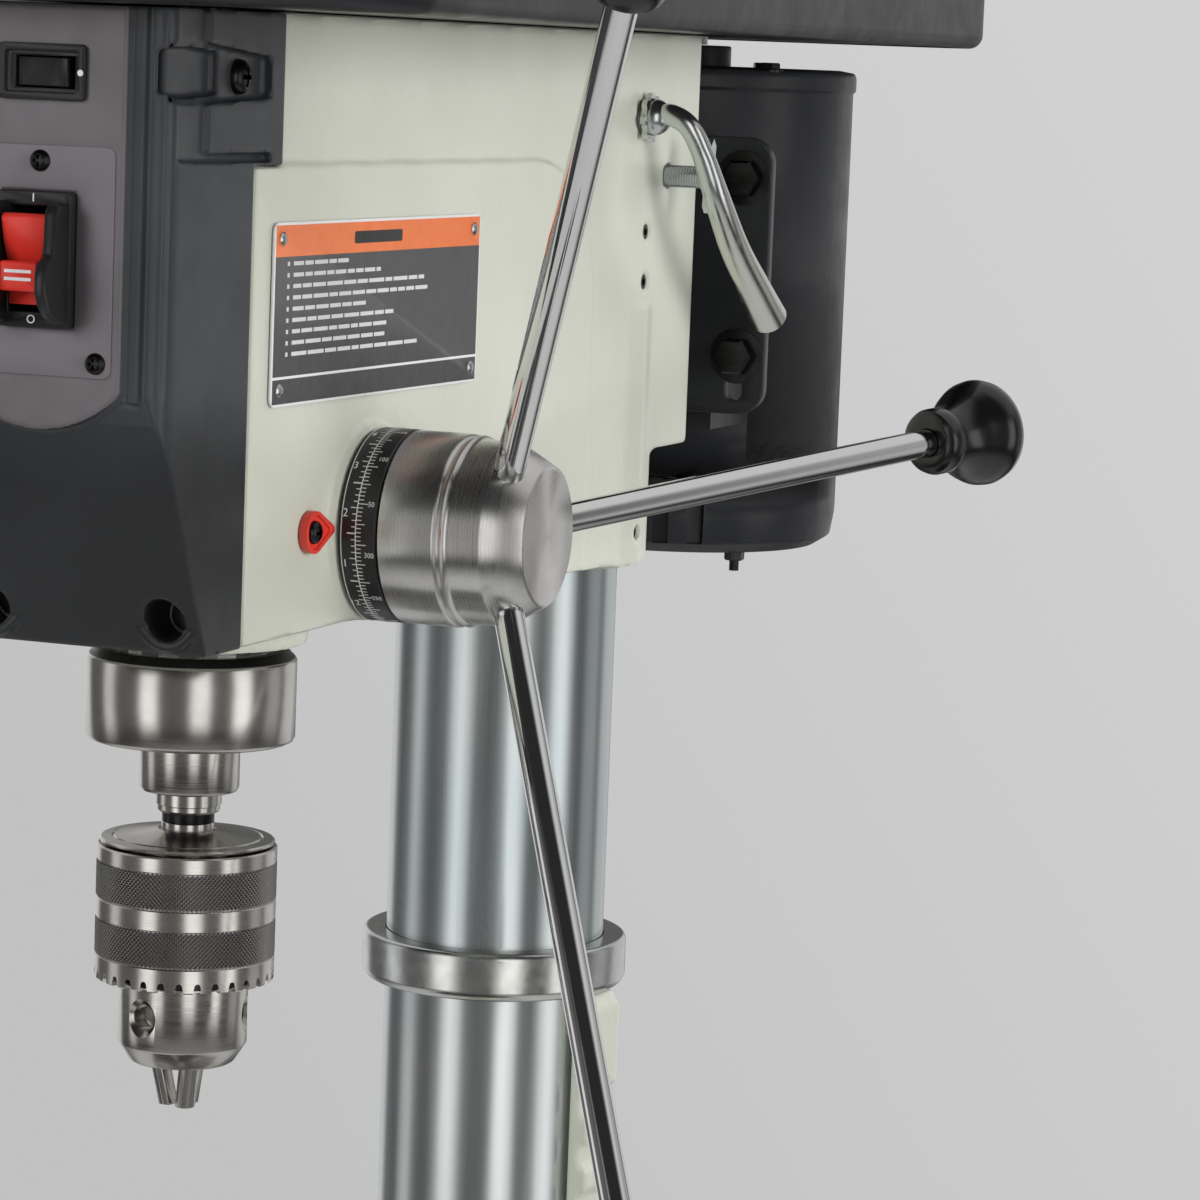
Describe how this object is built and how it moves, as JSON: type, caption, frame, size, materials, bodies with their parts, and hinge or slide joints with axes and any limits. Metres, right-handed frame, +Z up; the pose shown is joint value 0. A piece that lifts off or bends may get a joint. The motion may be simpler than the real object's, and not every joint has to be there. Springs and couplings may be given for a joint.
{
  "type": "drill press",
  "caption": "Floor-standing drill press with keyed chuck, three-arm feed handle, stepped pulleys under a belt guard, and a tilting table.",
  "frame": {"origin": "on the floor, on the column's axis", "axes": "+Z up along the column, the operator stands at -Y, +X is the operator's right"},
  "size_m": [0.3414, 0.675, 1.5998],
  "materials": {
    "head_paint": "grey-green orange-peel paint",
    "cover_plastic": "dark grey moulded plastic",
    "black_paint": "satin black paint",
    "black_plastic": "black moulded plastic",
    "zinc_steel": "bright zinc plate",
    "bright_steel": "machined and ground",
    "chrome": "polished chrome plate",
    "bare_iron": "machined cast iron",
    "aluminium": "die cast and turned",
    "red_plastic": "red moulded plastic",
    "belt_rubber": "matt rubber",
    "label_metal": "printed sheet aluminium"
  },
  "bodies": {
    "frame": {"base_casting": "head_paint", "column_flange": "head_paint", "column_tube": "zinc_steel", "column_ring": "zinc_steel", "head_casting": "head_paint", "front_cover": "cover_plastic", "switch_plate": "cover_plastic", "switch_housing": "black_plastic", "lamp_switch_frame": "black_plastic", "info_plate": "label_metal", "depth_pointer": "red_plastic", "spring_cup": "black_paint", "cord_gland": "black_plastic", "belt_guard_base": "black_paint", "pulley_bearing": "bright_steel", "belt_front": "belt_rubber", "belt_rear": "belt_rubber"},
    "guard_lid": {"belt_guard_lid": "black_paint", "lid_knob": "black_plastic"},
    "paddle": {"switch_paddle": "red_plastic"},
    "key": {"safety_key": "red_plastic"},
    "rocker": {"lamp_rocker": "black_plastic"},
    "quill": {"quill_sleeve": "bright_steel", "quill_collar": "bright_steel", "quill_bearing": "bright_steel"},
    "spindle": {"spindle": "bright_steel", "chuck_body": "bright_steel"},
    "chuck_sleeve": {"chuck_sleeve": "bright_steel"},
    "jaw_1": {"chuck_jaw_1": "bright_steel"},
    "jaw_2": {"chuck_jaw_2": "bright_steel"},
    "jaw_3": {"chuck_jaw_3": "bright_steel"},
    "feed": {"feed_hub": "bright_steel", "pinion_shaft": "bright_steel", "feed_rod_1": "chrome", "feed_rod_2": "chrome", "feed_rod_3": "chrome", "feed_knob_1": "black_plastic", "feed_knob_2": "black_plastic", "feed_knob_3": "black_plastic"},
    "scale": {"scale_ring": "black_plastic"},
    "spindle_pulley": {"spindle_pulley": "aluminium"},
    "idler_arm": {"idler_arm": "bare_iron"},
    "idler_pulley": {"idler_pulley": "aluminium"},
    "motor": {"motor_plate": "black_paint", "motor_body": "black_paint", "slide_bar_left": "bright_steel", "slide_bar_right": "bright_steel"},
    "motor_pulley": {"motor_pulley": "aluminium"},
    "lever": {"tension_lever": "zinc_steel"},
    "wing": {"wing_screw": "zinc_steel"},
    "rack": {"height_rack": "head_paint"},
    "bracket": {"table_bracket": "head_paint"},
    "crank": {"table_crank": "zinc_steel"},
    "grip": {"crank_grip": "black_plastic"},
    "column_lock": {"column_lock_handle": "zinc_steel"},
    "tilt": {"table_arm": "head_paint"},
    "table": {"work_table": "bare_iron"},
    "table_lock": {"table_lock_handle": "zinc_steel"}
  },
  "joints": [
    {"name": "feed_turn", "type": "hinge", "parent": "frame", "child": "feed", "pos_m": [0.052, -0.2271, 1.332], "axis": [1, 0, 0], "range_deg": [0, 366], "stiffness_Nm_per_rad": 0.05, "springref_deg": -859.44},
    {"name": "quill_feed", "type": "slide", "parent": "frame", "child": "quill", "axis": [0, 0, -1], "range_m": [0, 0.0802]},
    {"name": "scale_turn", "type": "hinge", "parent": "feed", "child": "scale", "pos_m": [0.052, -0.2271, 1.332], "axis": [1, 0, 0], "range_deg": [-350, 350]},
    {"name": "spindle_spin", "type": "hinge", "parent": "quill", "child": "spindle", "pos_m": [0, -0.2612, 1.256], "axis": [0, 0, 1], "continuous": true},
    {"name": "chuck_grip", "type": "hinge", "parent": "spindle", "child": "chuck_sleeve", "pos_m": [0, -0.2612, 1.21], "axis": [0, 0, 1], "range_deg": [0, 1080]},
    {"name": "jaw_1_slide", "type": "slide", "parent": "spindle", "child": "jaw_1", "axis": [0.1498, -0.1442, 0.9781], "range_m": [0, 0.0118]},
    {"name": "jaw_2_slide", "type": "slide", "parent": "spindle", "child": "jaw_2", "axis": [0.0499, 0.2018, 0.9781], "range_m": [0, 0.0118]},
    {"name": "jaw_3_slide", "type": "slide", "parent": "spindle", "child": "jaw_3", "axis": [-0.1997, -0.0577, 0.9781], "range_m": [0, 0.0118]},
    {"name": "spindle_pulley_spin", "type": "hinge", "parent": "frame", "child": "spindle_pulley", "pos_m": [0, -0.2612, 1.507], "axis": [0, 0, 1], "continuous": true},
    {"name": "motor_slide", "type": "slide", "parent": "frame", "child": "motor", "axis": [0, -1, 0], "range_m": [0, 0.012], "deforming": ["belt_front", "belt_rear"]},
    {"name": "idler_swing", "type": "hinge", "parent": "frame", "child": "idler_arm", "pos_m": [0, 0, 1.493], "axis": [0, 0, 1], "range_deg": [0, 4]},
    {"name": "idler_spin", "type": "hinge", "parent": "idler_arm", "child": "idler_pulley", "pos_m": [0, -0.0612, 1.507], "axis": [0, 0, 1], "continuous": true},
    {"name": "motor_pulley_spin", "type": "hinge", "parent": "motor", "child": "motor_pulley", "pos_m": [0, 0.1768, 1.507], "axis": [0, 0, 1], "continuous": true},
    {"name": "lever_turn", "type": "hinge", "parent": "frame", "child": "lever", "pos_m": [0.05, -0.0077, 1.458], "axis": [1, 0, 0], "range_deg": [0, 41]},
    {"name": "wing_turn", "type": "hinge", "parent": "frame", "child": "wing", "pos_m": [0.055, 0.0188, 1.437], "axis": [1, 0, 0], "range_deg": [0, 180]},
    {"name": "lid_open", "type": "hinge", "parent": "frame", "child": "guard_lid", "pos_m": [-0.109, 0, 1.4908], "axis": [0, -1, 0], "range_deg": [0, 100]},
    {"name": "paddle_tilt", "type": "hinge", "parent": "frame", "child": "paddle", "pos_m": [0, -0.3617, 1.415], "axis": [-1, 0, 0], "range_deg": [0, 12]},
    {"name": "key_pull", "type": "slide", "parent": "paddle", "child": "key", "axis": [0, -1, 0], "range_m": [0, 0.025]},
    {"name": "rocker_tilt", "type": "hinge", "parent": "frame", "child": "rocker", "pos_m": [0.0008, -0.3617, 1.4683], "axis": [0, 0, 1], "range_deg": [0, 8]},
    {"name": "table_swing", "type": "hinge", "parent": "frame", "child": "rack", "pos_m": [0, 0, 0.16], "axis": [0, 0, 1], "range_deg": [-180, 180]},
    {"name": "table_height", "type": "slide", "parent": "rack", "child": "bracket", "axis": [0, 0, -1], "range_m": [-0.16, 0.55]},
    {"name": "crank_turn", "type": "hinge", "parent": "bracket", "child": "crank", "pos_m": [0.09, 0, 0.785], "axis": [1, 0, 0], "range_deg": [-2900, 9920]},
    {"name": "grip_spin", "type": "hinge", "parent": "crank", "child": "grip", "pos_m": [0.12, -0.055, 0.72], "axis": [1, 0, 0], "continuous": true},
    {"name": "column_lock_turn", "type": "hinge", "parent": "bracket", "child": "column_lock", "pos_m": [-0.03, 0.068, 0.8], "axis": [-1, 0, 0], "range_deg": [0, 60]},
    {"name": "table_tilt", "type": "hinge", "parent": "bracket", "child": "tilt", "pos_m": [0, -0.122, 0.813], "axis": [0, 1, 0], "range_deg": [-45, 45]},
    {"name": "table_turn", "type": "hinge", "parent": "tilt", "child": "table", "pos_m": [0, -0.2612, 0.895], "axis": [0, 0, 1], "continuous": true},
    {"name": "table_lock_turn", "type": "hinge", "parent": "tilt", "child": "table_lock", "pos_m": [-0.045, -0.2612, 0.813], "axis": [1, 0, 0], "range_deg": [0, 60]}
  ],
  "couplings": [
    {"joint": "quill_feed", "follows": "feed_turn", "m_per_rad": 0.0125},
    {"joint": "jaw_1_slide", "follows": "chuck_grip", "m_per_rad": 0.00061},
    {"joint": "jaw_2_slide", "follows": "chuck_grip", "m_per_rad": 0.00061},
    {"joint": "jaw_3_slide", "follows": "chuck_grip", "m_per_rad": 0.00061},
    {"joint": "spindle_pulley_spin", "follows": "spindle_spin", "ratio": 1},
    {"joint": "idler_spin", "follows": "spindle_spin", "ratio": 1.1861},
    {"joint": "motor_pulley_spin", "follows": "spindle_spin", "ratio": 1.4067},
    {"joint": "idler_swing", "follows": "motor_slide", "rad_per_m": 5},
    {"joint": "lever_turn", "follows": "motor_slide", "rad_per_m": 58},
    {"joint": "crank_turn", "follows": "table_height", "rad_per_m": 314.16}
  ]
}
